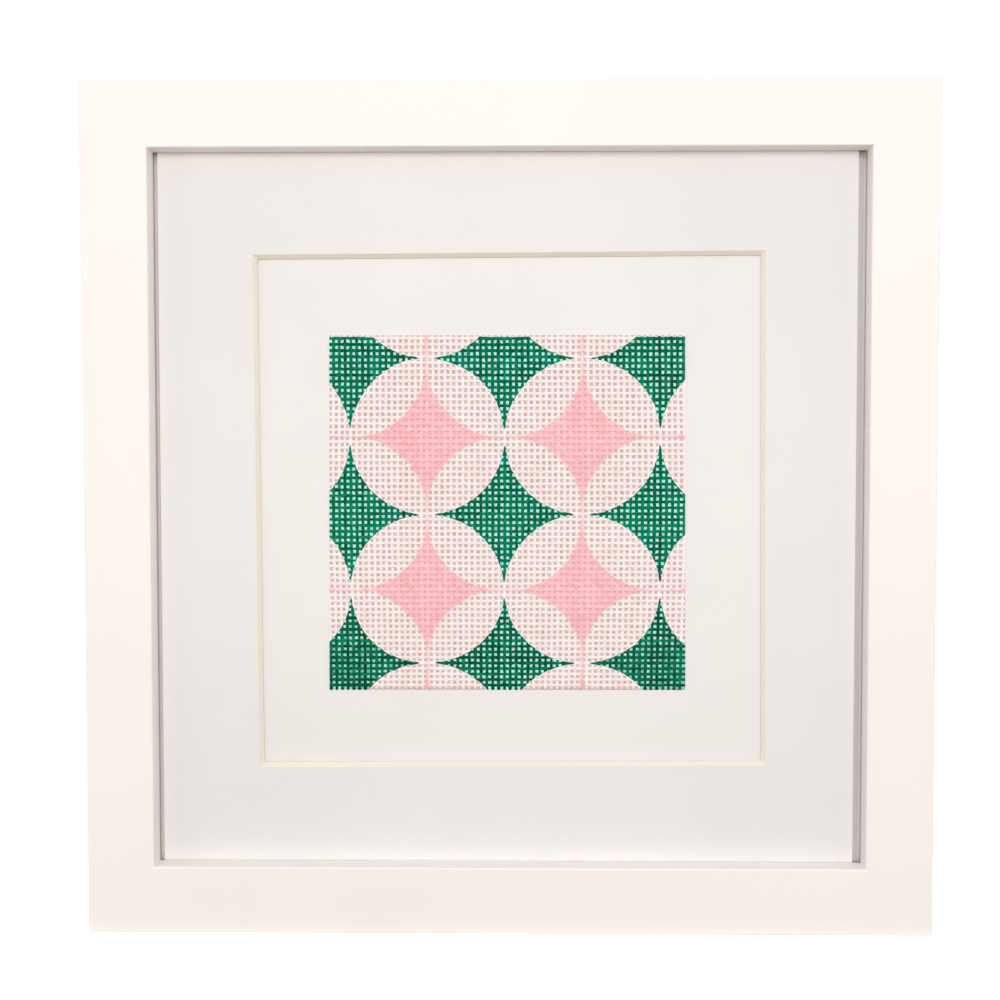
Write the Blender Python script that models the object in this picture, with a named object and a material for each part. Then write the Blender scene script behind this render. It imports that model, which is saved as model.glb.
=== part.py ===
"""Needlepoint canvas panel under a window mat in a square picture frame.

The frame stands upright on its bottom rail, with its face towards -Y and +Z up.
The origin is on the surface that it stands on, under the middle of its width and depth.
All lengths are in metres. A place "across" is counted from a rail's outer edge towards
the middle of the frame, and a "depth" from the frame's front face towards its back.
"""

import math

import bmesh
import bpy
from mathutils import Matrix, Vector

# The clearance that is left between neighbouring pieces.
GAP = 0.0003

# Frame rails: an L-shaped moulding with a rebate behind its lip.
FRAME_WIDTH = 0.254
FRAME_HEIGHT = 0.255
FRAME_DEPTH = 0.022
RAIL_FACE = 0.020
LIP_THICKNESS = 0.0055
REBATE = 0.006
ARRIS = 0.0005

# Window mat: its window is bevelled towards the front and cut a little out of square.
MAT_WIDTH = 0.2105
MAT_SHIFT = -0.0006
MAT_THICKNESS = 0.0014
WINDOW_WIDTH = 0.1520
WINDOW_HEIGHT = 0.1534
WINDOW_CENTRE = (0.00035, -0.0004)
WINDOW_TURN = math.radians(-0.36)
BEVEL_WIDTH = 0.0012
OVERCUT = 0.001

# Canvas: cut flush along its threads, slightly wider at its foot.
CANVAS_TOP_WIDTH = 0.1077
CANVAS_FOOT_WIDTH = 0.1088
CANVAS_HEIGHT = 0.1082
CANVAS_CENTRE = (-0.00065, -0.0012)
CANVAS_THICKNESS = 0.001

# Boards behind the mat, which lie loose in the rebate.
BOARD_CLEARANCE = 0.0005
MOUNT_THICKNESS = 0.002
BACK_THICKNESS = 0.003

# Flat steel points, driven into the rebate's wall behind the back board.
POINT_WIDTH = 0.008
POINT_THICKNESS = 0.0008
POINT_BITE = 0.004
POINT_REACH = 0.007
POINT_NOSE = 0.002
POINT_OFFSETS = (-0.055, 0.055)

# Depths of the front faces of the stack, from the front face of the frame.
MAT_DEPTH = LIP_THICKNESS + GAP
MOUNT_DEPTH = MAT_DEPTH + MAT_THICKNESS + GAP
CANVAS_DEPTH = MOUNT_DEPTH - GAP - CANVAS_THICKNESS
BACK_DEPTH = MOUNT_DEPTH + MOUNT_THICKNESS + GAP
POINT_DEPTH = BACK_DEPTH + BACK_THICKNESS + GAP

BOARD_WIDTH = FRAME_WIDTH - 2 * (RAIL_FACE - REBATE + BOARD_CLEARANCE)
BOARD_HEIGHT = FRAME_HEIGHT - 2 * (RAIL_FACE - REBATE + BOARD_CLEARANCE)

# The rails, counter-clockwise from the bottom as seen from the front:
# name, turn about +Y, length, and distance of its outer edge from the frame's centre.
RAILS = (
    ("bottom", 0.0, FRAME_WIDTH, FRAME_HEIGHT / 2),
    ("right", -math.pi / 2, FRAME_HEIGHT, FRAME_WIDTH / 2),
    ("top", math.pi, FRAME_WIDTH, FRAME_HEIGHT / 2),
    ("left", math.pi / 2, FRAME_HEIGHT, FRAME_WIDTH / 2),
)


def clear_scene():
    """Removes every object that the file starts with."""
    for found in list(bpy.data.objects):
        bpy.data.objects.remove(found, do_unlink=True)


def make_collection(name):
    made = bpy.data.collections.new(name)
    bpy.context.scene.collection.children.link(made)
    return made


def make_material(name, colour, roughness, metallic=0.0):
    """A Principled BSDF material of one linear colour."""
    made = bpy.data.materials.new(name)
    made.use_nodes = True
    shader = made.node_tree.nodes["Principled BSDF"]
    shader.inputs["Base Color"].default_value = (*colour, 1.0)
    shader.inputs["Roughness"].default_value = roughness
    shader.inputs["Metallic"].default_value = metallic
    return made


def from_front(depth):
    """The Y coordinate of a depth behind the frame's front face."""
    return depth - FRAME_DEPTH / 2


def add_object(name, mesh, collection, parent, place, turn=0.0, finish=None):
    """Puts a mesh in the scene, placed and turned about Y under its parent."""
    made = bpy.data.objects.new(name, mesh)
    collection.objects.link(made)
    made.parent = parent
    made.location = place
    made.rotation_euler = (0.0, turn, 0.0)
    if finish is not None:
        mesh.materials.append(finish)
    return made


def make_cutter(made):
    """Marks an object as a cutter, which isn't part of the panel."""
    made.display_type = "WIRE"
    made.hide_render = True
    return made


def cut(target, cutter):
    """Cuts one object with another by a Boolean modifier."""
    modifier = target.modifiers.new(cutter.name, "BOOLEAN")
    modifier.operation = "DIFFERENCE"
    modifier.solver = "EXACT"
    modifier.object = cutter


def mesh_from(bm, name):
    """Turns a bmesh into a mesh with its faces pointing out."""
    bmesh.ops.recalc_face_normals(bm, faces=bm.faces)
    mesh = bpy.data.meshes.new(name)
    bm.to_mesh(mesh)
    bm.free()
    return mesh


def box_mesh(name, width, thickness, height, flare=0.0):
    """A box around its centre, whose front face may flare out by so much on each side."""
    bm = bmesh.new()
    bmesh.ops.create_cube(bm, size=1.0)
    bmesh.ops.scale(bm, vec=Vector((width, thickness, height)), verts=bm.verts)
    for vertex in bm.verts:
        if vertex.co.y < 0:
            vertex.co.x += math.copysign(flare, vertex.co.x)
            vertex.co.z += math.copysign(flare, vertex.co.z)
    return mesh_from(bm, name)


def plate_mesh(name, outline, thickness, turn):
    """A flat outline, filled, extruded about its own plane, welded and turned."""
    curve = bpy.data.curves.new(name, "CURVE")
    curve.dimensions = "2D"
    curve.fill_mode = "BOTH"
    curve.extrude = thickness / 2
    spline = curve.splines.new("POLY")
    spline.points.add(len(outline) - 1)
    for point, (x, y) in zip(spline.points, outline):
        point.co = (x, y, 0.0, 1.0)
    spline.use_cyclic_u = True
    drawn = bpy.data.objects.new(name, curve)
    bpy.context.scene.collection.objects.link(drawn)
    bpy.context.view_layer.update()
    flat = bpy.data.meshes.new_from_object(
        drawn.evaluated_get(bpy.context.evaluated_depsgraph_get())
    )
    bm = bmesh.new()
    bm.from_mesh(flat)
    bmesh.ops.remove_doubles(bm, verts=bm.verts, dist=1e-6)
    bmesh.ops.transform(bm, matrix=turn, verts=bm.verts)
    bpy.data.objects.remove(drawn, do_unlink=True)
    bpy.data.curves.remove(curve)
    bpy.data.meshes.remove(flat)
    return mesh_from(bm, name)


def rail_section():
    """The moulding's section, as places across and depths from the outer front edge."""
    wall = RAIL_FACE - REBATE
    return (
        (ARRIS, 0.0),
        (RAIL_FACE - ARRIS, 0.0),
        (RAIL_FACE, ARRIS),
        (RAIL_FACE, LIP_THICKNESS),
        (wall, LIP_THICKNESS),
        (wall, FRAME_DEPTH),
        (0.0, FRAME_DEPTH),
        (0.0, ARRIS),
    )


def mitre(mesh, length):
    """Cuts both ends of a rail at 45 degrees, half a gap short of its neighbours."""
    bm = bmesh.new()
    bm.from_mesh(mesh)
    reach = length / 2 - GAP / math.sqrt(2)
    for side in (-1, 1):
        found = bmesh.ops.bisect_plane(
            bm,
            geom=bm.verts[:] + bm.edges[:] + bm.faces[:],
            plane_co=(side * reach, 0.0, 0.0),
            plane_no=(side, 0.0, 1.0),
            clear_outer=True,
        )
        rim = [e for e in found["geom_cut"] if isinstance(e, bmesh.types.BMEdge)]
        bmesh.ops.contextual_create(bm, geom=rim)
    bmesh.ops.recalc_face_normals(bm, faces=bm.faces)
    bm.to_mesh(mesh)
    bm.free()


def rail_mesh(name, length):
    """A mitred rail along X, with its outer edge at Z 0 and its inner edge above."""
    section = [(across, from_front(depth)) for across, depth in rail_section()]
    upright = Matrix.Rotation(-math.pi / 2, 4, "Y")
    mesh = plate_mesh(name, section, length, upright)
    mitre(mesh, length)
    return mesh


def point_outline():
    """A steel point seen from behind: a plate with its free corners cut off."""
    half = POINT_WIDTH / 2
    wall = RAIL_FACE - REBATE
    free_end = wall + POINT_REACH
    return (
        (-half, wall - POINT_BITE),
        (half, wall - POINT_BITE),
        (half, free_end - POINT_NOSE),
        (half - POINT_NOSE, free_end),
        (POINT_NOSE - half, free_end),
        (-half, free_end - POINT_NOSE),
    )


def add_points(rail, side, parts, cutters, steel):
    """Drives the steel points of one rail, each into its own slot in the wood."""
    facing_front = Matrix.Rotation(math.pi / 2, 4, "X")
    middle = from_front(POINT_DEPTH + POINT_THICKNESS / 2)
    for number, offset in enumerate(POINT_OFFSETS, start=1):
        name = f"point_{side}_{number}"
        plate = plate_mesh(name, point_outline(), POINT_THICKNESS, facing_front)
        add_object(name, plate, parts, rail, (offset, middle, 0.0), finish=steel)
        slot = box_mesh(
            f"slot_{side}_{number}",
            POINT_WIDTH + 2 * GAP,
            POINT_THICKNESS + 2 * GAP,
            2 * (POINT_BITE + GAP),
        )
        mouth = RAIL_FACE - REBATE
        cutter = add_object(slot.name, slot, cutters, rail, (offset, middle, mouth))
        cut(rail, make_cutter(cutter))


def add_frame(parts, cutters, centre, paint, steel):
    """The four rails and the points that hold the boards in."""
    for side, turn, length, distance in RAILS:
        mesh = rail_mesh(f"frame_rail_{side}", length)
        place = Matrix.Rotation(turn, 3, "Y") @ Vector((0.0, 0.0, -distance))
        rail = add_object(mesh.name, mesh, parts, centre, place, turn, paint)
        add_points(rail, side, parts, cutters, steel)


def add_board(name, width, height, thickness, depth, shift, parts, centre, finish):
    """A flat board in the rebate, whose front face lies at that depth."""
    mesh = box_mesh(name, width, thickness, height)
    place = (shift, from_front(depth + thickness / 2), 0.0)
    return add_object(name, mesh, parts, centre, place, finish=finish)


def add_mat(parts, cutters, centre, card):
    """The mat, and the cutter of its bevelled window."""
    mat = add_board(
        "mat_board",
        MAT_WIDTH,
        BOARD_HEIGHT,
        MAT_THICKNESS,
        MAT_DEPTH,
        MAT_SHIFT,
        parts,
        centre,
        card,
    )
    slope = BEVEL_WIDTH / MAT_THICKNESS
    cutter_depth = MAT_THICKNESS + 2 * OVERCUT
    window = box_mesh(
        "mat_window",
        WINDOW_WIDTH - 2 * OVERCUT * slope,
        cutter_depth,
        WINDOW_HEIGHT - 2 * OVERCUT * slope,
        flare=cutter_depth * slope,
    )
    x, z = WINDOW_CENTRE
    place = (x, from_front(MAT_DEPTH + MAT_THICKNESS / 2), z)
    cutter = add_object("mat_window", window, cutters, centre, place, WINDOW_TURN)
    cut(mat, make_cutter(cutter))


def add_canvas(parts, centre, cloth):
    """The canvas, a flat sheet that lies on the mount board inside the window."""
    top = CANVAS_TOP_WIDTH / 2
    foot = CANVAS_FOOT_WIDTH / 2
    rise = CANVAS_HEIGHT / 2
    outline = ((-foot, -rise), (foot, -rise), (top, rise), (-top, rise))
    facing_front = Matrix.Rotation(math.pi / 2, 4, "X")
    mesh = plate_mesh("canvas_panel", outline, CANVAS_THICKNESS, facing_front)
    x, z = CANVAS_CENTRE
    place = (x, from_front(CANVAS_DEPTH + CANVAS_THICKNESS / 2), z)
    add_object("canvas_panel", mesh, parts, centre, place, finish=cloth)


def build_panel():
    clear_scene()
    parts = make_collection("needlepoint_canvas_panel")
    cutters = make_collection("cutters")
    paint = make_material("white_paint", (0.92, 0.90, 0.85), 0.45)
    card = make_material("mat_card", (0.87, 0.84, 0.80), 0.85)
    mount = make_material("mount_card", (0.88, 0.85, 0.80), 0.85)
    cloth = make_material("painted_canvas", (0.80, 0.62, 0.58), 0.80)
    hardboard = make_material("hardboard", (0.20, 0.11, 0.06), 0.75)
    steel = make_material("point_steel", (0.55, 0.55, 0.56), 0.35, metallic=1.0)

    centre = bpy.data.objects.new("panel_centre", None)
    parts.objects.link(centre)
    centre.location = (0.0, 0.0, FRAME_HEIGHT / 2)

    add_frame(parts, cutters, centre, paint, steel)
    add_mat(parts, cutters, centre, card)
    add_canvas(parts, centre, cloth)
    boards = (
        ("mount_board", MOUNT_THICKNESS, MOUNT_DEPTH, mount),
        ("back_board", BACK_THICKNESS, BACK_DEPTH, hardboard),
    )
    for name, thickness, depth, finish in boards:
        add_board(
            name, BOARD_WIDTH, BOARD_HEIGHT, thickness, depth, 0.0, parts, centre, finish
        )


build_panel()
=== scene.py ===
"""Looks of a painted needlepoint canvas under a window mat in a white picture frame.

The panel stands upright with its face towards -Y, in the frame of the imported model, and
most places come from that model's own boxes. They are in metres. The canvas's threads and
paint are laid out in millimetres from the frame's middle, as the comments say.
"""

import math

import bpy
import numpy as np
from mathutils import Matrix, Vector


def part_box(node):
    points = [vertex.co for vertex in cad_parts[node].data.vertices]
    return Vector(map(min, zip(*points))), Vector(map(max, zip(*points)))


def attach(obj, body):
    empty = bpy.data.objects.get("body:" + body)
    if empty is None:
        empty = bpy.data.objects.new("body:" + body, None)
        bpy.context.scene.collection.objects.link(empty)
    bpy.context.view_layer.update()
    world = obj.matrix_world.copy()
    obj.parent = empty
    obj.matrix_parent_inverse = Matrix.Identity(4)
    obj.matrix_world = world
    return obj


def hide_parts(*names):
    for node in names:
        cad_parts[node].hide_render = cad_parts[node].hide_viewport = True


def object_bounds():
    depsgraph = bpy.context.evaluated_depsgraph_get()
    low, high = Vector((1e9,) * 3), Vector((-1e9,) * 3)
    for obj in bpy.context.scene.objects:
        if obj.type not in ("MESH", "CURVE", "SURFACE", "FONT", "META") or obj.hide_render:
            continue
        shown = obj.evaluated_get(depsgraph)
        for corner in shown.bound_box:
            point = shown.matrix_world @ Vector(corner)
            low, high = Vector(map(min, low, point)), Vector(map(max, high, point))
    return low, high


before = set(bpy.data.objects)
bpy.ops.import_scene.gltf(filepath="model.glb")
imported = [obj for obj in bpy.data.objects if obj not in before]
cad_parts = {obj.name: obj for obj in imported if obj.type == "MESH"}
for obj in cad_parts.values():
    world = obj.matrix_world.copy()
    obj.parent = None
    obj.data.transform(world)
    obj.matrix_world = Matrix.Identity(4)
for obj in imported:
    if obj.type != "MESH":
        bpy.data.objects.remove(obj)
cad_low, cad_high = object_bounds()

MM = 0.001

# The moulding: an L whose lip lies in front of the mat.
RAIL_FACE = 20.0 * MM
LIP_THICKNESS = 5.5 * MM
REBATE = 6.0 * MM
ARRIS_ROUND = 0.5 * MM

# The mat's window, at the back of its bevel, and the bevel itself.
WINDOW_WIDTH = 152.0 * MM
WINDOW_HEIGHT = 153.4 * MM
WINDOW_CENTRE = (0.35 * MM, -0.4 * MM)
WINDOW_TURN = math.radians(0.36)
BEVEL_WIDTH = 1.2 * MM
CARD_ROUND = 0.1 * MM

# The canvas's cut: narrower at its top, in millimetres across and from the frame's middle.
CUT_TOP_HALF = 53.85
CUT_FOOT_HALF = 54.40
CUT_MIDDLE = -0.65
CUT_TOP = 52.9
CUT_FOOT = -55.15
CUT_FOOT_TILT = 0.12

# Threads of the canvas, 14 to an inch, whose pitch drifts a little from edge to edge.
# A thread's place is a polynomial of its number, counted from the middle in steps of 30.
DRIFT_STEP = 30
UPRIGHT_PLACES = (-0.33, 0.29, 54.30, -0.42)
LEVEL_PLACES = (0.35, 1.27, -54.05, -2.11)
UPRIGHTS = np.arange(61) - 30.5
LEVELS = np.arange(60) - 29.5
UPRIGHT_FAN = 0.27
UPRIGHT_BOW = -0.17
UPRIGHT_SWELL = 0.31
LEVEL_FAN = 0.10
WANDER = 0.035

# A thread's section, in millimetres. It is broader where pink paint has filled the weave,
# which begins at FILL_FROM radii from a green centre.
THREAD_HALF_WIDTH = 0.46
GREEN_HALF_WIDTH = 0.445
PINK_HALF_WIDTH = 0.60
GREEN_UNEVEN = 0.13
UNEVEN = 0.08
FILL_FROM = 0.99
FILL_OVER = 0.05
THREAD_HALF_THICKNESS = 0.13
THREAD_RISE = 0.045
CUT_RISE = 0.3
CREST_REACH = 0.24
SECTION_ACROSS = (1.0, 0.74, -0.74, -1.0, -0.74, 0.74)
SECTION_FRONT = (0.0, 1.0, 1.0, 0.0, -1.0, -1.0)
SECTION_SIDES = len(SECTION_ACROSS)
LEAST_STRAND = 0.25
LEAST_STEP = 0.03
LIFT = 0.06
TONE_SPREAD = 0.09
CUT_TONE = 0.45
THREAD_SEED = 14

# The painted repeat, counted in threads: circles that meet, spaced by their radius each
# way, about a middle thread of each kind.
RADIUS_UPRIGHTS = 13.08
RADIUS_LEVELS = 12.95
MIDDLE_UPRIGHT = -0.57
MIDDLE_LEVEL = -0.36
REPEAT_REACH = 2.29

# Edges of the paint, in radii. A ramp is given as low, high and its value at each.
GREEN_EDGE = 0.9985
EDGE_SOFTNESS = 0.004
FULLER_GREEN = (0.12, 0.30, 0.0025, 0.0)
CORNER_GREEN = (2.20, 2.21, 0.0, 1.01)
GREEN_TIP = (0.09, 0.13)
PINK_EDGE = (0.990, 1.030)
PINK_RAGGED = 0.05
LINE_EDGE = (0.012, 0.036, 1.0, 0.0)
LINE_ASIDE = 0.006
LINE_FADE = (0.05, 0.35, 0.42, 0.72)
BARE_TIPS = 52.45
TIPS_PINK = 0.3
SWAY = 0.8 * MM
JITTER = 0.6 * MM

# How thick the paint lies, by the unevenness of its brushing. Green is darker toward the
# foot, and more of its holes are darker toward the foot's corners: both are painted shade.
# Heights and ways across are in millimetres from the frame's middle.
DEPTH = (0.75, 1.65)
GREEN_DEPTH = (0.87, 1.53)
GREEN_SHADE_AT_FOOT = (-48.0, -15.0, -0.12, 0.0)
HOLE_SHADE_AT_FOOT = (-48.0, -24.0, 0.26, 0.0)
HOLE_SHADE_AT_SIDES = (15.0, 40.0)
HOLE_LIGHTNESS = (0.08, 0.50)
PALER_HOLES = (0.25, 0.75)

# Painted shade on the cards, in millimetres: toward a corner, inside the canvas's cut, and
# in the slots, from the edge of the frame's opening inwards. Under the lip the slots'
# painted shade turns into painted light.
CORNER_SHADE = (30.0, 70.0, 1.0, 0.974)
CUT_BEHIND = 0.03
CUT_SHADE = (0.22, 0.40, 1.0, 0.0)
CUT_DARKNESS = 0.22
SLOT_START = (4.0, 3.5)
SLOT_SHADE = (2.4, 0.5)
SLOT_DARKNESS = (0.34, 0.25)
LIP_SHADE_TO_LIGHT = (1.0, -0.45)

# Colours are linear red, green, blue and a 1. A noise mixes the two of a pair.
WHITE = (1.0, 1.0, 1.0, 1.0)
FRAME_TONES = ((0.926, 0.890, 0.845, 1.0), (0.941, 0.908, 0.866, 1.0))
MAT_TONES = ((0.862, 0.831, 0.818, 1.0), (0.842, 0.809, 0.795, 1.0))
CORE_TONES = ((0.90, 0.845, 0.74, 1.0), (0.83, 0.765, 0.655, 1.0))
MOUNT_TONES = ((0.884, 0.852, 0.832, 1.0), (0.864, 0.829, 0.810, 1.0))
# The slots' cool grey is painted shade.
SLOT_SHADE_TONE = (0.884, 0.847, 0.852, 1.0)
# Tints of the card under the canvas's holes: painted shade and painted bounce light from the
# paint above them.
GREEN_HOLES = ((0.22, 0.58, 0.46, 1.0), (0.60, 1.0, 0.94, 1.0))
PINK_HOLES = ((0.98, 0.61, 0.66, 1.0), (1.0, 0.71, 0.755, 1.0))
BLUSH_HOLES = ((0.62, 0.51, 0.485, 1.0), (0.77, 0.66, 0.635, 1.0))
BARE_HOLES = (0.78, 0.71, 0.68, 1.0)
GREEN_PAINT = ((0.001, 0.068, 0.028, 1.0), (0.002, 0.290, 0.150, 1.0))
PINK_PAINT = ((0.93, 0.455, 0.495, 1.0), (1.0, 0.615, 0.655, 1.0))
BLUSH_PAINT = ((0.95, 0.77, 0.75, 1.0), (1.0, 0.93, 0.91, 1.0))
BARE_PAINT = (1.0, 0.93, 0.91, 1.0)
HARDBOARD_TONES = ((0.115, 0.060, 0.032, 1.0), (0.265, 0.155, 0.088, 1.0))
STEEL_TONES = ((0.56, 0.56, 0.57, 1.0), (0.42, 0.40, 0.38, 1.0))
FLOOR_TONES = ((0.95, 0.95, 0.945, 1.0), (0.97, 0.97, 0.965, 1.0))
FLOOR_BOUNCE = (0.33, 0.29, 0.25, 1.0)

# The camera is in front of the face, a little above and to the right of its middle.
CAMERA_PLACE = (0.008, -0.321, 0.1455)
CAMERA_TILT = math.radians(88.245)
CAMERA_PAN = math.radians(0.601)
CAMERA_LENS = 37.59
CAMERA_SHIFT = (-0.0245, -0.0175)

# Light: a key in front, a fill at each side, and a broad one that shines down at the back.
# Each is its place, the point that it faces, its side and its power.
WORLD_LIGHT = 0.66
WORLD_SEEN = 1.1
LIGHT_TARGET = (0.0, 0.0, 0.13)
KEY = ((0.05, -1.40, 0.40), LIGHT_TARGET, 0.62, 9.5)
LEFT_FILL = ((-1.10, -0.45, 0.20), LIGHT_TARGET, 0.5, 1.55)
RIGHT_FILL = ((1.10, -0.45, 0.20), LIGHT_TARGET, 0.5, 1.0)
BACK = ((0.0, 0.80, 1.30), (0.0, 0.8001, 0.0), 1.5, 10.0)
FLOOR_HALF = 0.9
FLOOR_GLOW = 0.19
# Painted light: the floor glows in a strip along the frame's foot, over its contact shadow.
FOOT_PAINTED_LIGHT = (1.0 * MM, 2.5 * MM, 0.32, 0.0)


# ---------------------------------------------------------------- meshes


def quad_grid(rows, columns, wrap_rows=False, wrap_columns=False):
    """Corner numbers of the quads between the points of a grid, row by row."""
    row = np.arange(rows if wrap_rows else rows - 1)[:, None]
    column = np.arange(columns if wrap_columns else columns - 1)[None, :]
    next_row = (row + 1) % rows
    next_column = (column + 1) % columns
    corners = (
        row * columns + column,
        row * columns + next_column,
        next_row * columns + next_column,
        next_row * columns + column,
    )
    return np.stack(corners, axis=-1).reshape(-1, 4)


def enclosed_volume(points, quads):
    """Volume inside a closed surface: the sum over its triangles of a.(b x c) / 6."""
    total = 0.0
    for second, third in ((1, 2), (2, 3)):
        a = points[quads[:, 0]]
        b = points[quads[:, second]]
        c = points[quads[:, third]]
        total += np.einsum("ij,ij->i", a, np.cross(b, c)).sum() / 6.0
    return total


def make_piece(name, points, quads):
    """A mesh object of those points and quads, with its faces turned to point outwards."""
    points = points.reshape(-1, 3)
    if enclosed_volume(points, quads) < 0:
        quads = quads[:, ::-1]
    mesh = bpy.data.meshes.new(name)
    mesh.vertices.add(len(points))
    mesh.vertices.foreach_set("co", points.astype(np.float32).ravel())
    mesh.loops.add(quads.size)
    mesh.loops.foreach_set("vertex_index", quads.astype(np.int32).ravel())
    mesh.polygons.add(len(quads))
    mesh.polygons.foreach_set("loop_start", np.arange(0, quads.size, 4, dtype=np.int32))
    mesh.update(calc_edges=True)
    mesh.validate()
    mesh.shade_smooth()
    made = bpy.data.objects.new(name, mesh)
    bpy.context.scene.collection.objects.link(made)
    return made


def round_edges(piece, width, segments, shares=None):
    """Rounds every sharp edge of a piece, or each edge by its share of the width."""
    bevel = piece.modifiers.new("rounded_edges", "BEVEL")
    bevel.width = width
    bevel.segments = segments
    bevel.limit_method = "ANGLE"
    bevel.angle_limit = math.radians(30)
    bevel.harden_normals = True
    if shares is not None:
        bevel.limit_method = "WEIGHT"
        stored = piece.data.attributes.new("bevel_weight_edge", "FLOAT", "EDGE")
        stored.data.foreach_set("value", shares.astype(np.float32))


def corner_ring(width, height, middle, depth, turn=0.0):
    """Four corners of a rectangle at one depth, turned counter-clockwise in its plane."""
    across = np.array((-1, 1, 1, -1)) * width / 2
    up = np.array((-1, -1, 1, 1)) * height / 2
    x = middle[0] + across * math.cos(turn) - up * math.sin(turn)
    z = middle[1] + across * math.sin(turn) + up * math.cos(turn)
    return np.stack((x, np.full(4, depth), z), axis=-1)


# ---------------------------------------------------------------- node trees


class Recipe:
    """A material's nodes, with short ways to add one and to join it to the others."""

    def __init__(self, name):
        self.material = bpy.data.materials.new(name)
        self.material.use_nodes = True
        self.tree = self.material.node_tree
        self.shader = self.tree.nodes["Principled BSDF"]

    def node(self, kind, inputs=None, **settings):
        """Adds a node; its inputs are sockets to join or plain values."""
        made = self.tree.nodes.new("ShaderNode" + kind)
        for key, value in settings.items():
            setattr(made, key, value)
        for key, value in (inputs or {}).items():
            self.feed(made.inputs[key], value)
        return made

    def feed(self, socket, value):
        """Joins a socket to another one's output, or sets its own value."""
        if isinstance(value, bpy.types.NodeSocket):
            self.tree.links.new(value, socket)
        else:
            socket.default_value = value

    def math(self, operation, first, second=0.0, third=0.0):
        """One sum of numbers."""
        made = self.node("Math", {0: first, 1: second, 2: third}, operation=operation)
        return made.outputs[0]

    def ramp(self, value, low, high, start=0.0, end=1.0, smooth=True):
        """Carries a value from low..high to start..end, and holds it outside."""
        made = self.node(
            "MapRange",
            {0: value, 1: low, 2: high, 3: start, 4: end},
            interpolation_type="SMOOTHSTEP" if smooth else "LINEAR",
        )
        return made.outputs[0]

    def mix(self, share, first, second):
        """Two colours mixed by a share from 0 to 1."""
        made = self.node("Mix", data_type="RGBA")
        self.feed(made.inputs[0], share)
        self.feed(made.inputs[6], first)
        self.feed(made.inputs[7], second)
        return made.outputs[2]

    def scaled(self, colour, share):
        """A colour made darker, or lighter, by a share of itself."""
        made = self.node("VectorMath", {0: colour, "Scale": share}, operation="SCALE")
        return made.outputs[0]

    def hypot(self, first, second):
        """The long side of a right triangle: the root of the sum of two squares."""
        squares = self.math("MULTIPLY", first, first)
        return self.math("SQRT", self.math("MULTIPLY_ADD", second, second, squares))

    def coordinates(self, source="Object", scale=(1.0, 1.0, 1.0)):
        """Coordinates of the surface, scaled."""
        found = self.node("TexCoord").outputs[source]
        return self.node("Mapping", {"Vector": found, "Scale": scale}).outputs[0]

    def moved(self, vector, noise, reach):
        """Coordinates moved by a noise's colour, less a half, times a reach."""
        half = (-0.5, -0.5, -0.5)
        around = self.node("VectorMath", {0: noise, 1: half}, operation="ADD").outputs[0]
        inputs = {0: around, 1: (reach,) * 3, 2: vector}
        return self.node("VectorMath", inputs, operation="MULTIPLY_ADD").outputs[0]

    def polynomial(self, value, coefficients):
        """A polynomial of a value, its highest power first."""
        total = float(coefficients[0])
        for coefficient in coefficients[1:]:
            total = self.math("MULTIPLY_ADD", total, value, float(coefficient))
        return total

    def noise(self, vector, scale, detail=3.0, roughness=0.5):
        """Soft noise from 0 to 1 with so many waves to a metre."""
        made = self.node(
            "TexNoise",
            {"Vector": vector, "Scale": scale, "Detail": detail, "Roughness": roughness},
        )
        return made.outputs[0]

    def bump(self, height, distance, strength=1.0, under=None):
        """Small relief from a height between 0 and 1."""
        inputs = {"Height": height, "Distance": distance, "Strength": strength}
        if under is not None:
            inputs["Normal"] = under
        return self.node("Bump", inputs).outputs[0]

    def finish(self, colour, roughness, normal=None, **numbers):
        """Feeds the shader. Other names are those of its sockets, with _ for a space."""
        self.feed(self.shader.inputs["Base Color"], colour)
        self.feed(self.shader.inputs["Roughness"], roughness)
        if normal is not None:
            self.feed(self.shader.inputs["Normal"], normal)
        for key, value in numbers.items():
            self.feed(self.shader.inputs[key.replace("_", " ")], value)
        return self.material


# ---------------------------------------------------------------- materials


def satin_white_paint():
    """White paint on smooth wood: a faint roller texture, and a little uneven in tone."""
    recipe = Recipe("satin_white_paint")
    place = recipe.coordinates()
    cloud = recipe.noise(place, 18.0, 2.0)
    peel = recipe.noise(place, 900.0, 2.0, 0.4)
    brushed = recipe.noise(recipe.coordinates(scale=(1.0, 1.0, 0.2)), 420.0, 3.0)
    tone = recipe.ramp(cloud, 0.3, 0.7)
    colour = recipe.mix(tone, *FRAME_TONES)
    relief = recipe.bump(peel, 0.00002, 0.5)
    relief = recipe.bump(brushed, 0.00003, 0.35, under=relief)
    gloss = recipe.ramp(peel, 0.2, 0.8, 0.40, 0.50)
    return recipe.finish(colour, gloss, relief, Specular_IOR_Level=0.16)


def millimetres(recipe, vector):
    """How far a point lies to the right of the frame's middle and above it."""
    parts = recipe.node("SeparateXYZ", {0: vector})
    above = recipe.math("SUBTRACT", parts.outputs[2], (cad_low.z + cad_high.z) / 2)
    return recipe.math("DIVIDE", parts.outputs[0], MM), recipe.math("DIVIDE", above, MM)


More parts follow.
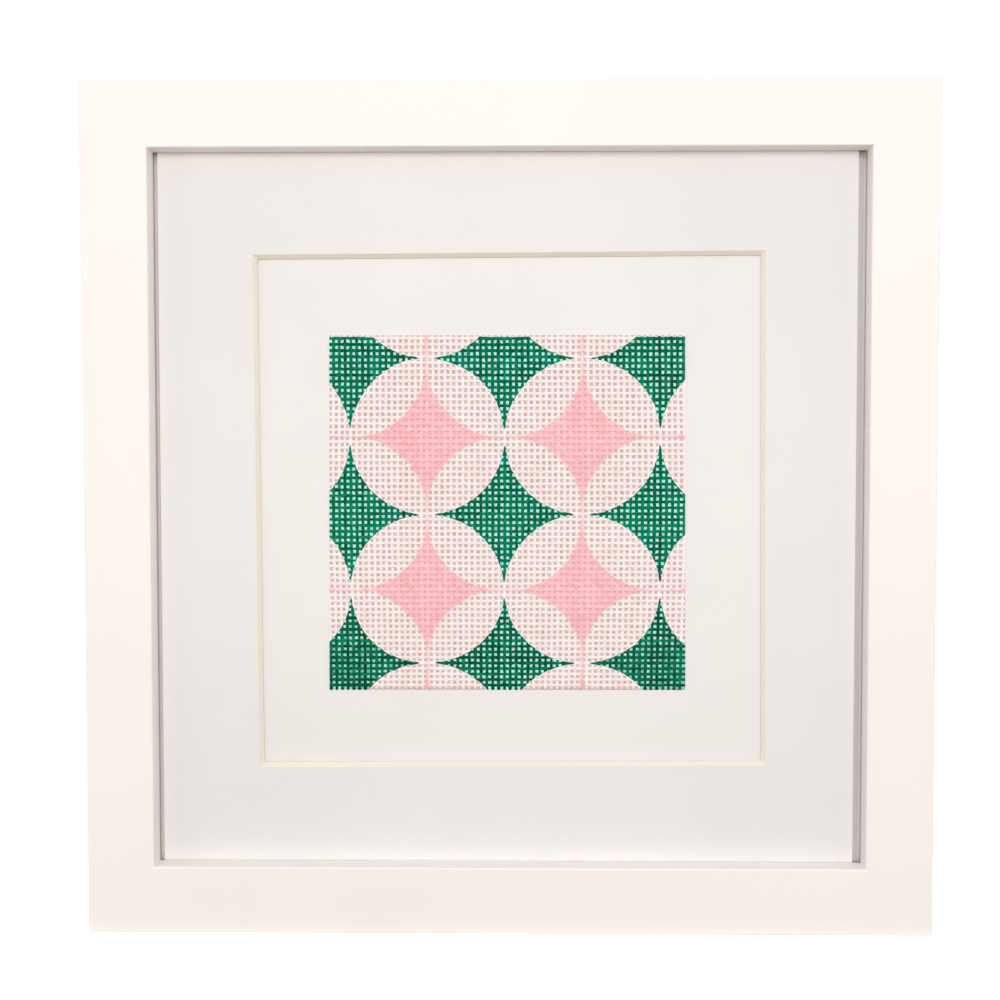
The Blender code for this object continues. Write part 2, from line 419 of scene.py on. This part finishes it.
def card_face(name, tones):
    """Matt white card: fine tooth, short fibres, and painted shade that darkens it a little
    toward its corners.

    A place is as near to a corner as the smaller of its ways across and up is long.
    """
    recipe = Recipe(name)
    place = recipe.coordinates()
    tooth = recipe.noise(place, 2600.0, 3.0, 0.6)
    fibre = recipe.noise(recipe.coordinates(scale=(1.0, 1.0, 0.25)), 1500.0, 4.0, 0.6)
    cloud = recipe.noise(place, 25.0, 2.0)
    tone = recipe.ramp(recipe.math("ADD", cloud, tooth), 0.7, 1.3)
    across, up = millimetres(recipe, place)
    from_axes = recipe.math(
        "MINIMUM", recipe.math("ABSOLUTE", across), recipe.math("ABSOLUTE", up)
    )
    # Painted shade: the card a little darker toward its corners, as the recess shades them.
    painted_corner_shade = recipe.ramp(from_axes, *CORNER_SHADE)
    colour = recipe.scaled(recipe.mix(tone, *tones), painted_corner_shade)
    relief = recipe.bump(tooth, 0.00003, 0.4)
    relief = recipe.bump(fibre, 0.00004, 0.3, under=relief)
    return recipe, colour, relief


def mat_card():
    """The mat's white face card."""
    recipe, colour, relief = card_face("mat_card", MAT_TONES)
    return recipe.finish(colour, 0.88, relief, Specular_IOR_Level=0.2)


def mat_core():
    """The cream core that the bevel lays open, with the fine ridges of the cut."""
    recipe = Recipe("mat_core")
    place = recipe.coordinates()
    grain = recipe.noise(place, 3200.0, 3.0, 0.6)
    ridge = recipe.noise(recipe.coordinates(scale=(0.15, 4.0, 0.15)), 900.0, 2.0)
    colour = recipe.mix(grain, *CORE_TONES)
    relief = recipe.bump(recipe.math("ADD", grain, ridge), 0.00004, 0.5)
    return recipe.finish(colour, 0.9, relief, Specular_IOR_Level=0.15)


def number_cubic(places):
    """Cubic for a thread's number, in drift steps, at a place: its places turned round."""
    numbers = np.linspace(-1.1, 1.1, 61)
    return np.polyfit(np.polyval(places, numbers), numbers, 3)


def painted_shares(recipe, jitter):
    """How green, pink and bare the painted repeat is at a place, each from 0 to 1.

    With a and b the threads to the nearest green centre across and up, in radii, a place
    is pink where hypot(a, b) is over 1, and green where hypot(1 - a, 1 - b) is over 1.
    A paler pink line also runs through each row and column of pink centres. The green
    points stop just short of it, a narrow bare line follows each green edge, and the tips
    above the top thread are nearly bare. Past REPEAT_REACH radii the pink repeat stands
    still, and the corners that lie past it both ways are green.
    """
    place = recipe.node("TexCoord").outputs["Object"]
    wobble = recipe.node("TexNoise", {"Vector": place, "Scale": 650.0, "Detail": 2.0})
    sway = recipe.node("TexNoise", {"Vector": place, "Scale": 45.0, "Detail": 1.0})
    shaken = recipe.moved(place, wobble.outputs[1], jitter)
    across, up = millimetres(recipe, recipe.moved(shaken, sway.outputs[1], SWAY))

    def radii(distance, places, middle, radius):
        number = recipe.polynomial(distance, number_cubic(places))
        steps = recipe.math("MULTIPLY_ADD", number, DRIFT_STEP / radius, -middle / radius)
        return recipe.math("ABSOLUTE", steps)

    def held(steps):
        return recipe.math("PINGPONG", recipe.math("MINIMUM", steps, REPEAT_REACH), 1.0)

    steps_a = radii(across, UPRIGHT_PLACES, MIDDLE_UPRIGHT, RADIUS_UPRIGHTS)
    steps_b = radii(up, LEVEL_PLACES, MIDDLE_LEVEL, RADIUS_LEVELS)
    a = recipe.math("PINGPONG", steps_a, 1.0)
    b = recipe.math("PINGPONG", steps_b, 1.0)
    from_a = recipe.math("SUBTRACT", 1.0, a)
    from_b = recipe.math("SUBTRACT", 1.0, b)

    soft = EDGE_SOFTNESS
    nearest = recipe.math("MINIMUM", from_a, from_b)
    fuller = recipe.ramp(nearest, *FULLER_GREEN)
    ring = recipe.math("ADD", recipe.hypot(from_a, from_b), fuller)
    corner = recipe.ramp(recipe.math("MINIMUM", steps_a, steps_b), *CORNER_GREEN)
    ring = recipe.math("MAXIMUM", ring, corner)
    green = recipe.ramp(ring, GREEN_EDGE - soft, GREEN_EDGE + soft, smooth=False)
    bare = recipe.ramp(ring, GREEN_EDGE - 5 * soft, GREEN_EDGE - 3 * soft)
    ragged = recipe.math("MULTIPLY_ADD", wobble.outputs[0], PINK_RAGGED, -PINK_RAGGED / 2)
    from_green = recipe.hypot(held(steps_a), held(steps_b))
    star = recipe.ramp(recipe.math("ADD", from_green, ragged), *PINK_EDGE)
    green = recipe.math("MULTIPLY", green, recipe.ramp(nearest, *GREEN_TIP))
    fading = recipe.ramp(recipe.math("MINIMUM", a, b), *LINE_FADE)
    beside = recipe.math("MINIMUM", recipe.math("SUBTRACT", from_a, LINE_ASIDE), from_b)
    line = recipe.math("MULTIPLY", recipe.ramp(beside, *LINE_EDGE), fading)
    tips = recipe.math("GREATER_THAN", up, BARE_TIPS)
    green = recipe.math("MULTIPLY", green, recipe.math("SUBTRACT", 1.0, tips))
    other = recipe.math("SUBTRACT", 1.0, green)
    faint = recipe.math("MULTIPLY", tips, TIPS_PINK)
    pink = recipe.math("MAXIMUM", recipe.math("MAXIMUM", star, line), faint)
    return green, recipe.math("MULTIPLY", pink, other), recipe.math("MULTIPLY", bare, other)


def mount_card():
    """White card which shows through the holes of the canvas, tinted there with painted shade
    and the painted bounce light of the threads' paint.

    Some green holes are darker at random, and more of them toward the foot's corners,
    where that is painted shade. The card has a thin painted shadow along the canvas's cut,
    and painted shade in the slots beside the mat, where it lies deep behind the frame's lip;
    under the lip itself that shade turns into painted light.
    """
    recipe, colour, relief = card_face("mount_card", MOUNT_TONES)
    green, pink, bare = painted_shares(recipe, 0.0)
    across, up = millimetres(recipe, recipe.node("TexCoord").outputs["Object"])
    patch = recipe.noise(recipe.coordinates(), 480.0, 1.0)
    # Painted shade: green holes darker toward the foot's corners.
    corner = recipe.math(
        "MULTIPLY",
        recipe.ramp(up, *HOLE_SHADE_AT_FOOT),
        recipe.ramp(recipe.math("ABSOLUTE", across), *HOLE_SHADE_AT_SIDES),
    )
    hole_lightness = recipe.ramp(recipe.math("SUBTRACT", patch, corner), *HOLE_LIGHTNESS)
    paler = recipe.ramp(patch, *PALER_HOLES)
    # The holes' tints are painted shade and painted bounce light from the threads.
    green_tint = recipe.mix(hole_lightness, *GREEN_HOLES)
    tint = recipe.mix(
        pink, recipe.mix(paler, *BLUSH_HOLES), recipe.mix(paler, *PINK_HOLES)
    )
    tint = recipe.mix(bare, tint, BARE_HOLES)
    tint = recipe.mix(green, tint, green_tint)
    taper = (CUT_FOOT_HALF - CUT_TOP_HALF) / (CUT_FOOT - CUT_TOP)
    half = recipe.math("MULTIPLY_ADD", up, taper, CUT_TOP_HALF - taper * CUT_TOP)
    beside = recipe.math("ABSOLUTE", recipe.math("SUBTRACT", across, CUT_MIDDLE))
    above = recipe.math("ABSOLUTE", recipe.math("SUBTRACT", up, (CUT_TOP + CUT_FOOT) / 2))
    inside = recipe.math(
        "MINIMUM",
        recipe.math("SUBTRACT", half, beside),
        recipe.math("SUBTRACT", (CUT_TOP - CUT_FOOT) / 2, above),
    )
    behind = recipe.ramp(inside, -CUT_BEHIND, CUT_BEHIND)
    colour = recipe.mix(behind, colour, tint)
    # A thin painted shadow on the card just inside the canvas's cut.
    cut_line = recipe.math("MULTIPLY", behind, recipe.ramp(inside, *CUT_SHADE))
    # Painted shade in the slots beside the mat, cool grey and darker, which turns into painted
    # light on the strip under the lip.
    opening = (cad_high.x - cad_low.x) / (2 * MM) - RAIL_FACE / MM
    reach = recipe.math("ABSOLUTE", across)
    begun, whole = (opening - inward for inward in SLOT_START)
    rim = recipe.ramp(reach, begun, whole, smooth=False)
    far, near = (opening - inward for inward in SLOT_SHADE)
    deep = recipe.math(
        "MULTIPLY",
        recipe.ramp(reach, far, near, *SLOT_DARKNESS, smooth=False),
        recipe.ramp(reach, near, opening, *LIP_SHADE_TO_LIGHT, smooth=False),
    )
    colour = recipe.mix(rim, colour, SLOT_SHADE_TONE)
    slot = recipe.math("MULTIPLY", rim, deep)
    # The painted shadow along the cut and the painted shade and light of the slots, taken off
    # the card's colour.
    painted_shade_and_light = recipe.math("MULTIPLY_ADD", cut_line, CUT_DARKNESS, slot)
    colour = recipe.scaled(colour, recipe.math("SUBTRACT", 1.0, painted_shade_and_light))
    return recipe.finish(colour, 0.9, relief, Specular_IOR_Level=0.15)


def painted_canvas():
    """Cotton threads under brushed paint in the green, pink and blush of the repeat.

    The UV map gives the twist of a thread its slant, along and around it.
    """
    recipe = Recipe("painted_canvas")
    place = recipe.coordinates()
    green, pink, bare = painted_shares(recipe, JITTER)
    blotch = recipe.noise(place, 2600.0, 3.0, 0.65)
    patch = recipe.noise(place, 160.0, 3.0, 0.6)
    tone = recipe.node("Attribute", attribute_name="thread_tone").outputs["Fac"]
    unevenness = recipe.math("MULTIPLY_ADD", patch, 0.4, recipe.math("MULTIPLY", blotch, 2.0))
    unevenness = recipe.math("ADD", unevenness, tone)
    depth = recipe.ramp(unevenness, *DEPTH)
    blush_paint = recipe.mix(depth, *BLUSH_PAINT)
    pink_paint = recipe.mix(depth, *PINK_PAINT)
    # Painted shade: the green paint darker toward the foot.
    foot_shade = recipe.ramp(millimetres(recipe, place)[1], *GREEN_SHADE_AT_FOOT)
    green_depth = recipe.ramp(recipe.math("ADD", unevenness, foot_shade), *GREEN_DEPTH)
    green_paint = recipe.mix(green_depth, *GREEN_PAINT)
    colour = recipe.mix(bare, blush_paint, BARE_PAINT)
    colour = recipe.mix(pink, colour, pink_paint)
    colour = recipe.mix(green, colour, green_paint)
    along = recipe.coordinates("UV", scale=(1.05, 1.88, 1.0))
    twist = recipe.node(
        "TexWave",
        {"Vector": along, "Scale": 1.0, "Distortion": 1.2, "Detail": 1.0},
        wave_type="BANDS",
        bands_direction="DIAGONAL",
    ).outputs["Fac"]
    relief = recipe.bump(twist, 0.00004, 0.5)
    relief = recipe.bump(blotch, 0.00006, 0.6, under=relief)
    return recipe.finish(colour, 0.8, relief, Specular_IOR_Level=0.03)


def brown_hardboard():
    """Hardboard with its rough side out: the print of a wire screen, and loose fibres."""
    recipe = Recipe("brown_hardboard")
    place = recipe.coordinates()
    fleck = recipe.noise(place, 700.0, 4.0, 0.65)
    cloud = recipe.noise(place, 30.0, 3.0)
    screen = recipe.node("TexVoronoi", {"Vector": place, "Scale": 800.0}).outputs[0]
    tone = recipe.ramp(recipe.math("ADD", fleck, recipe.math("MULTIPLY", cloud, 0.5)), 0.5, 1.0)
    colour = recipe.mix(tone, *HARDBOARD_TONES)
    relief = recipe.bump(screen, 0.00012, 0.5)
    relief = recipe.bump(fleck, 0.0001, 0.6, under=relief)
    return recipe.finish(colour, 0.78, relief, Specular_IOR_Level=0.25)


def point_steel():
    """Flat spring steel, brushed along its length and faintly spotted."""
    recipe = Recipe("point_steel")
    brushed = recipe.noise(recipe.coordinates(scale=(6.0, 6.0, 1.0)), 900.0, 3.0)
    spots = recipe.noise(recipe.coordinates(), 500.0, 4.0, 0.7)
    colour = recipe.mix(recipe.ramp(spots, 0.45, 0.75), *STEEL_TONES)
    gloss = recipe.ramp(brushed, 0.2, 0.8, 0.26, 0.44)
    relief = recipe.bump(brushed, 0.00002, 0.4)
    return recipe.finish(colour, gloss, relief, Metallic=1.0)


# ---------------------------------------------------------------- pieces


def arris_shares(mesh, corners):
    """Shares of the rounding: all of it on outer and front arrises, a tenth of it inside.

    Edges within one flat face, which join the two corners of that face at a mitre, have none.
    """
    ends = np.empty(len(mesh.edges) * 2, dtype=np.int32)
    mesh.edges.foreach_get("vertices", ends)
    first, second = np.sort(ends.reshape(-1, 2) // 4, axis=1).T
    along = first == second
    shares = np.where(along & ((first < 2) | (first == corners - 1)), 1.0, 0.1)
    shares[(first == 0) & (second == corners - 1)] = 1.0
    flat = (first == 0) & (second == 1) | (first == 2) & (second == 3)
    shares[flat | (first == corners - 2) & (second == corners - 1)] = 0.0
    return shares


def picture_frame(finish):
    """The painted moulding, whose filled mitres don't show.

    The L section is carried round the outer rectangle: a section point that lies so far
    across the rail is a rectangle which is smaller by twice that much.
    """
    front, back = cad_low.y, cad_high.y
    wall = RAIL_FACE - REBATE
    lip = front + LIP_THICKNESS
    section = (
        (0.0, front),
        (RAIL_FACE, front),
        (RAIL_FACE, lip),
        (wall, lip),
        (wall, back),
        (0.0, back),
    )
    width = cad_high.x - cad_low.x
    height = cad_high.z - cad_low.z
    middle = ((cad_low.x + cad_high.x) / 2, (cad_low.z + cad_high.z) / 2)
    rings = [
        corner_ring(width - 2 * across, height - 2 * across, middle, depth)
        for across, depth in section
    ]
    quads = quad_grid(len(section), 4, wrap_rows=True, wrap_columns=True)
    piece = make_piece("picture_frame", np.stack(rings), quads)
    round_edges(piece, ARRIS_ROUND, 4, arris_shares(piece.data, len(section)))
    piece.data.materials.append(finish)
    return piece


def window_mat(face, core):
    """The window mat: its outer and window rectangles joined by a card's section.

    The window's ring on the front is wider than the one at the back by the bevel.
    """
    low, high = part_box("mat_board")
    frame_middle = (cad_low.z + cad_high.z) / 2
    outer_middle = ((low.x + high.x) / 2, (low.z + high.z) / 2)
    window_middle = (WINDOW_CENTRE[0], frame_middle + WINDOW_CENTRE[1])
    outer = (high.x - low.x, high.z - low.z)
    flare = 2 * BEVEL_WIDTH
    rings = (
        corner_ring(*outer, outer_middle, low.y),
        corner_ring(
            WINDOW_WIDTH + flare, WINDOW_HEIGHT + flare, window_middle, low.y, WINDOW_TURN
        ),
        corner_ring(WINDOW_WIDTH, WINDOW_HEIGHT, window_middle, high.y, WINDOW_TURN),
        corner_ring(*outer, outer_middle, high.y),
    )
    quads = quad_grid(len(rings), 4, wrap_rows=True, wrap_columns=True)
    piece = make_piece("window_mat", np.stack(rings), quads)
    piece.data.materials.append(face)
    piece.data.materials.append(core)
    cut_faces = np.repeat((0, 1, 0, 1), 4)
    piece.data.polygons.foreach_set("material_index", cut_faces.astype(np.int32))
    round_edges(piece, CARD_ROUND, 2)
    return piece


def cut_edges(up):
    """Places of the canvas's left and right cut at a height: two slanting lines."""
    share = (CUT_TOP - up) / (CUT_TOP - CUT_FOOT)
    half = CUT_TOP_HALF + (CUT_FOOT_HALF - CUT_TOP_HALF) * share
    return CUT_MIDDLE - half, CUT_MIDDLE + half


def thread_places(coefficients, numbers):
    """Places of threads by their number from the middle: a cubic polynomial."""
    return np.polyval(coefficients, numbers / DRIFT_STEP)


def crossing_steps(first, last):
    """Numbers just before and just after each crossing, where a thread's crest ends."""
    crossings = np.arange(first, last + 1)
    return np.stack((crossings - CREST_REACH, crossings + CREST_REACH), axis=-1).ravel()


def over_and_under(threads, crossings):
    """How far threads rise: up by the rise where i + j is even, and down where it is odd."""
    odd = (np.arange(threads)[:, None] + np.repeat(np.arange(crossings), 2)) % 2
    return THREAD_RISE * (1 - 2 * odd)


def radii_from_green(distance, places, middle, radius):
    """Threads from a place to the nearest green centre, in radii: a wave from 0 to 1."""
    number = np.polyval(number_cubic(places), distance) * DRIFT_STEP
    steps = np.minimum(np.abs(number - middle) / radius, REPEAT_REACH)
    return np.abs((steps + 1) % 2 - 1)


def spread_widths(x, z, seeded):
    """Half widths of threads at places: broader where hypot(a, b) is over 1, as is pink.

    They are narrower, and less even, where hypot(1 - a, 1 - b) is over 1, as is green.
    """
    a = radii_from_green(x, UPRIGHT_PLACES, MIDDLE_UPRIGHT, RADIUS_UPRIGHTS)
    b = radii_from_green(z, LEVEL_PLACES, MIDDLE_LEVEL, RADIUS_LEVELS)
    filled = np.clip((np.hypot(a, b) - FILL_FROM) / FILL_OVER, 0, 1)
    green = np.hypot(1 - a, 1 - b) > 1
    widths = np.where(green, GREEN_HALF_WIDTH, THREAD_HALF_WIDTH)
    widths = widths + (PINK_HALF_WIDTH - THREAD_HALF_WIDTH) * filled
    uneven = np.where(green, GREEN_UNEVEN, UNEVEN)
    return widths * (1.0 + uneven * seeded.normal(0.0, 1.0, widths.shape))


def thread_tones(shape, seeded):
    """Tones along threads: a thread's own, and one for each crossing; darker at both ends."""
    own = seeded.normal(0.0, TONE_SPREAD, (shape[0], 1))
    crossing = seeded.normal(0.0, TONE_SPREAD, (shape[0], shape[1] // 2))
    tones = own + np.repeat(crossing, 2, axis=1)
    tones[:, (0, -1)] -= CUT_TONE
    return tones


def thread_tubes(lines, half_widths, sideways):
    """Flattened six-sided tubes carried along many lines at once, with closed ends.

    A section point lies its share of the half width to the side of the line and its share
    of the half thickness in front of it. The lines have the shape (threads, points, 3),
    and sideways is the axis across them.
    """
    threads, points = lines.shape[:2]
    surface = np.repeat(lines[:, :, None, :], SECTION_SIDES, axis=2)
    surface[..., sideways] += half_widths[..., None] * np.array(SECTION_ACROSS)
    surface[..., 1] -= THREAD_HALF_THICKNESS * np.array(SECTION_FRONT)
    sides = quad_grid(points, SECTION_SIDES, wrap_columns=True)
    end = (points - 1) * SECTION_SIDES
    caps = np.array(((0, 3, 2, 1), (0, 5, 4, 3)))
    far_caps = caps[:, ::-1] + end
    one = np.concatenate((sides, caps, far_caps))
    start = np.arange(threads)[:, None, None] * points * SECTION_SIDES
    return surface, (one[None] + start).reshape(-1, 4)


def upright_threads(seeded):
    """Lines, half widths and tones of the upright threads, as two groups.

    A thread that the cut runs along keeps only what lies inside the cut, and the one at
    the left starts where that strand is broad enough. It is the second group.
    """
    steps = crossing_steps(LEVELS[0], LEVELS[-1])
    z = thread_places(LEVEL_PLACES, steps)
    x = thread_places(UPRIGHT_PLACES, UPRIGHTS)
    share = z[None] / CUT_TOP_HALF
    outward = UPRIGHT_FAN * share + UPRIGHT_SWELL * np.cos(np.pi * share)
    lean = outward * UPRIGHTS[:, None] / DRIFT_STEP + UPRIGHT_BOW * share**2
    lines_x = x[:, None] + lean + seeded.normal(0.0, WANDER, (len(x), len(z)))
    side = over_and_under(len(x), len(LEVELS))
    lines = np.stack((lines_x, -side, np.broadcast_to(z, lines_x.shape)), axis=-1)
    ends = lines[:, (0, -1)].copy()
    ends[:, 0, 2] = CUT_TOP
    ends[:, 1, 2] = CUT_FOOT + CUT_FOOT_TILT * ends[:, 1, 0] / CUT_FOOT_HALF
    ends[..., 1] *= CUT_RISE
    lines = np.concatenate((ends[:, :1], lines, ends[:, 1:]), axis=1)
    widths = spread_widths(lines[..., 0], lines[..., 2], seeded)
    left, right = cut_edges(lines[..., 2])
    near = np.maximum(lines[..., 0] - widths, left)
    far = np.minimum(lines[..., 0] + widths, right)
    lines[..., 0] = (near + far) / 2
    widths = (far - near) / 2
    tones = thread_tones(widths.shape, seeded)
    whole = np.flatnonzero(widths[0] * 2 > LEAST_STRAND)
    strand = np.arange(whole[0], whole[-1] + 1)
    return (
        (lines[1:], widths[1:], tones[1:]),
        (lines[:1, strand], widths[:1, strand], tones[:1, strand]),
    )


def level_threads(seeded):
    """Lines, half widths and tones of the level threads, which end at the cut."""
    steps = crossing_steps(UPRIGHTS[0], UPRIGHTS[-1])
    x = thread_places(UPRIGHT_PLACES, steps)
    z = thread_places(LEVEL_PLACES, LEVELS)
    lean = LEVEL_FAN * (LEVELS[:, None] / DRIFT_STEP) * (x[None] / CUT_TOP_HALF)
    lines_z = z[:, None] + lean + seeded.normal(0.0, WANDER, (len(z), len(x)))
    side = over_and_under(len(z), len(UPRIGHTS))
    lines = np.stack((np.broadcast_to(x, lines_z.shape), side, lines_z), axis=-1)
    lines = np.concatenate((lines[:, :1], lines, lines[:, -1:]), axis=1)
    left, right = (edge[:, None] for edge in cut_edges(z))
    order = np.arange(lines.shape[1]) * LEAST_STEP
    lines[:, 0, 0] = left[:, 0]
    lines[:, -1, 0] = right[:, 0]
    lines[..., 0] = np.clip(lines[..., 0], left + order, right - order[::-1])
    widths = spread_widths(lines[..., 0], lines[..., 2], seeded)
    return lines, widths, thread_tones(widths.shape, seeded)


def canvas_panel(finish):
    """The canvas: sixty woven threads each way, in one piece.

    Thread i and thread j cross at a grid of places. There the upright one is in front
    where i + j is even and the level one where it is odd, so each goes over and under.
    """
    seeded = np.random.default_rng(THREAD_SEED)
    groups = [(*group, 0) for group in upright_threads(seeded)]
    groups.append((*level_threads(seeded), 2))
    points, quads, tones, along = [], [], [], []
    start = 0
    for lines, widths, tone, sideways in groups:
        surface, corners = thread_tubes(lines, widths, sideways)
        points.append(surface.reshape(-1, 3))
        quads.append(corners + start)
        tones.append(np.repeat(tone.ravel(), SECTION_SIDES))
        along.append(np.repeat(lines[..., 2 - sideways].ravel(), SECTION_SIDES))
        start += len(points[-1])

    mount_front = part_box("mount_board")[0].y
    stand_off = (THREAD_HALF_THICKNESS + THREAD_RISE + LIFT) * MM
    place = np.array((0.0, mount_front - stand_off, (cad_low.z + cad_high.z) / 2))
    piece = make_piece(
        "canvas_threads", np.concatenate(points) * MM + place, np.concatenate(quads)
    )
    add_thread_data(piece.data, np.concatenate(tones), np.concatenate(along))
    piece.data.materials.append(finish)
    return piece


def add_thread_data(mesh, tones, along):
    """Stores each point's tone, and a UV map of the length along and the turn around.

    A face that joins the last side to the first goes on past one turn, with no seam.
    """
    stored = mesh.attributes.new("thread_tone", "FLOAT", "POINT")
    stored.data.foreach_set("value", tones.astype(np.float32))
    corner = np.empty(len(mesh.loops), dtype=np.int32)
    mesh.loops.foreach_get("vertex_index", corner)
    turn = ((corner % SECTION_SIDES) / SECTION_SIDES).reshape(-1, 4)
    seam = turn.max(axis=1, keepdims=True) > 0.7
    turn = np.where(seam & (turn < 0.2), turn + 1.0, turn)
    flat = np.stack((along[corner], turn.ravel()), axis=-1)
    layer = mesh.uv_layers.new(name="thread")
    layer.data.foreach_set("uv", flat.astype(np.float32).ravel())


def dress_nodes(finishes):
    """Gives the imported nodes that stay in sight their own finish."""
    for name, finish in finishes.items():
        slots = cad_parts[name].material_slots
        for slot in slots:
            slot.material = finish


# ---------------------------------------------------------------- stage


def add_camera():
    """The camera: square on, a little above the middle and near the face."""
    data = bpy.data.cameras.new("camera")
    data.sensor_width = 36.0
    data.lens = CAMERA_LENS
    data.shift_x, data.shift_y = CAMERA_SHIFT
    camera = bpy.data.objects.new("camera", data)
    camera.location = CAMERA_PLACE
    camera.rotation_euler = (CAMERA_TILT, 0.0, CAMERA_PAN)
    bpy.context.scene.collection.objects.link(camera)
    bpy.context.scene.camera = camera


def add_light(name, place, target, size, power):
    """A soft square light that faces a point."""
    data = bpy.data.lights.new(name, "AREA")
    data.size = size
    data.energy = power
    light = bpy.data.objects.new(name, data)
    light.location = place
    aim = np.array(target) - np.array(place)
    away = math.hypot(aim[0], aim[1])
    light.rotation_euler = (math.atan2(away, -aim[2]), 0.0, math.atan2(-aim[0], aim[1]))
    bpy.context.scene.collection.objects.link(light)


def add_stage():
    """A plain pale floor, a white world and soft studio light, and painted light on the floor
    along the frame's foot.
    """
    scene = bpy.context.scene
    scene.view_settings.view_transform = "Standard"
    recipe = Recipe("pale_floor")
    seen = recipe.node("LightPath").outputs["Is Camera Ray"]
    cloud = recipe.noise(recipe.coordinates(), 3.0, 2.0)
    colour = recipe.mix(seen, FLOOR_BOUNCE, recipe.mix(cloud, *FLOOR_TONES))
    depth = recipe.node("SeparateXYZ", {0: recipe.coordinates()}).outputs[1]
    # Painted light: a strip of the floor along the frame's foot glows, over the frame's contact
    # shadow.
    from_face = recipe.math("ABSOLUTE", recipe.math("SUBTRACT", depth, cad_low.y))
    beside = recipe.ramp(from_face, *FOOT_PAINTED_LIGHT)
    glow = recipe.math("MAXIMUM", recipe.math("MULTIPLY", seen, FLOOR_GLOW), beside)
    recipe.shader.inputs["Emission Color"].default_value = WHITE
    recipe.finish(colour, 0.9, Specular_IOR_Level=0.1, Emission_Strength=glow)
    ends = (-FLOOR_HALF, FLOOR_HALF)
    corners = [(x, y, 0.0) for y in ends for x in ends]
    mesh = bpy.data.meshes.new("floor")
    mesh.from_pydata(corners, [], [(0, 1, 3, 2)])
    mesh.materials.append(recipe.material)
    floor = bpy.data.objects.new("floor", mesh)
    scene.collection.objects.link(floor)

    world = bpy.data.worlds.new("studio")
    scene.world = world
    world.use_nodes = True
    nodes = world.node_tree.nodes
    links = world.node_tree.links
    background = nodes["Background"]
    background.inputs["Color"].default_value = WHITE
    path = nodes.new("ShaderNodeLightPath")
    strength = nodes.new("ShaderNodeMapRange")
    strength.inputs["To Min"].default_value = WORLD_LIGHT
    strength.inputs["To Max"].default_value = WORLD_SEEN
    links.new(path.outputs["Is Camera Ray"], strength.inputs["Value"])
    links.new(strength.outputs[0], background.inputs["Strength"])

    add_light("key", *KEY)
    add_light("left_fill", *LEFT_FILL)
    add_light("right_fill", *RIGHT_FILL)
    add_light("back", *BACK)


def build_looks():
    """Makes every piece, gives it its body and finish, and hides the nodes that it stands for.
    """
    paint = satin_white_paint()
    moulding = picture_frame(paint)
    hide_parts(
        "frame_rail_bottom", "frame_rail_right", "frame_rail_top", "frame_rail_left"
    )

    mat = window_mat(mat_card(), mat_core())
    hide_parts("mat_board")

    canvas = canvas_panel(painted_canvas())
    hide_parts("canvas_panel")

    for piece in (moulding, mat, canvas):
        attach(piece, "root")

    finishes = {"mount_board": mount_card(), "back_board": brown_hardboard()}
    steel = point_steel()
    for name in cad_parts:
        if name.startswith("point_"):
            finishes[name] = steel
    dress_nodes(finishes)


add_camera()
add_stage()
build_looks()
